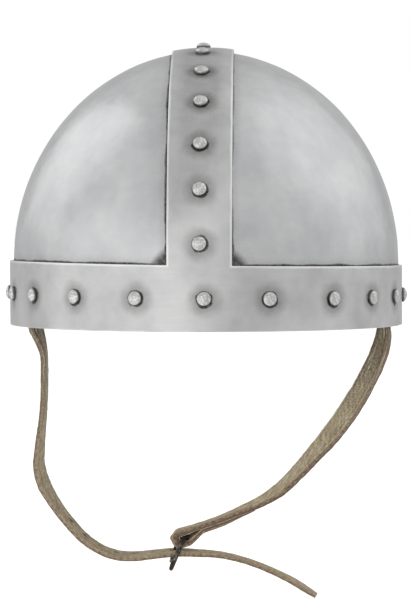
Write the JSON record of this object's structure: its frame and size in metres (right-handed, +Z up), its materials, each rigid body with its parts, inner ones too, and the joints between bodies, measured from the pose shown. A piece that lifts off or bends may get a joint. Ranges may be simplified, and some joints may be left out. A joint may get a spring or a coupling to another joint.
{
  "type": "riveted iron helmet",
  "caption": "Open iron helmet: a domed skull riveted under a brow band and one crest band, with a suede chin strap closed by a small prong buckle.",
  "frame": {"origin": "crown of the hollow, where the wearer's head carries the helmet", "axes": "the wearer faces -Y, +X is the wearer's left, +Z is up"},
  "size_m": [0.2096, 0.2446, 0.2938],
  "materials": {
    "band_iron": "satin polished iron with dark seams and faint hand-made unevenness",
    "plate_iron": "satin polished sheet iron, a little brighter than the bands",
    "rivet_iron": "satin domed heads with dark wax left round their feet",
    "strap_suede": "brown-grey suede with cut edges and a row of stitches",
    "buckle_iron": "dark, oiled round iron with worn highlights"
  },
  "bodies": {
    "root": {"band_frame": "band_iron", "skull_plate_left": "plate_iron", "skull_plate_right": "plate_iron", "brow_rivet_01": "rivet_iron", "brow_rivet_02": "rivet_iron", "brow_rivet_03": "rivet_iron", "brow_rivet_04": "rivet_iron", "brow_rivet_05": "rivet_iron", "brow_rivet_06": "rivet_iron", "brow_rivet_07": "rivet_iron", "brow_rivet_08": "rivet_iron", "brow_rivet_09": "rivet_iron", "brow_rivet_10": "rivet_iron", "brow_rivet_11": "rivet_iron", "brow_rivet_12": "rivet_iron", "brow_rivet_13": "rivet_iron", "brow_rivet_14": "rivet_iron", "brow_rivet_15": "rivet_iron", "brow_rivet_16": "rivet_iron", "brow_rivet_17": "rivet_iron", "brow_rivet_18": "rivet_iron", "brow_rivet_19": "rivet_iron", "brow_rivet_20": "rivet_iron", "crest_rivet_01": "rivet_iron", "crest_rivet_02": "rivet_iron", "crest_rivet_03": "rivet_iron", "crest_rivet_04": "rivet_iron", "crest_rivet_05": "rivet_iron", "crest_rivet_06": "rivet_iron", "crest_rivet_07": "rivet_iron", "crest_rivet_08": "rivet_iron", "crest_rivet_09": "rivet_iron", "crest_rivet_10": "rivet_iron", "crest_rivet_11": "rivet_iron", "crest_rivet_12": "rivet_iron", "crest_rivet_13": "rivet_iron", "strap_tail_side": "strap_suede", "strap_buckle_side": "strap_suede", "buckle_frame": "buckle_iron", "buckle_prong": "buckle_iron"}
  },
  "joints": []
}
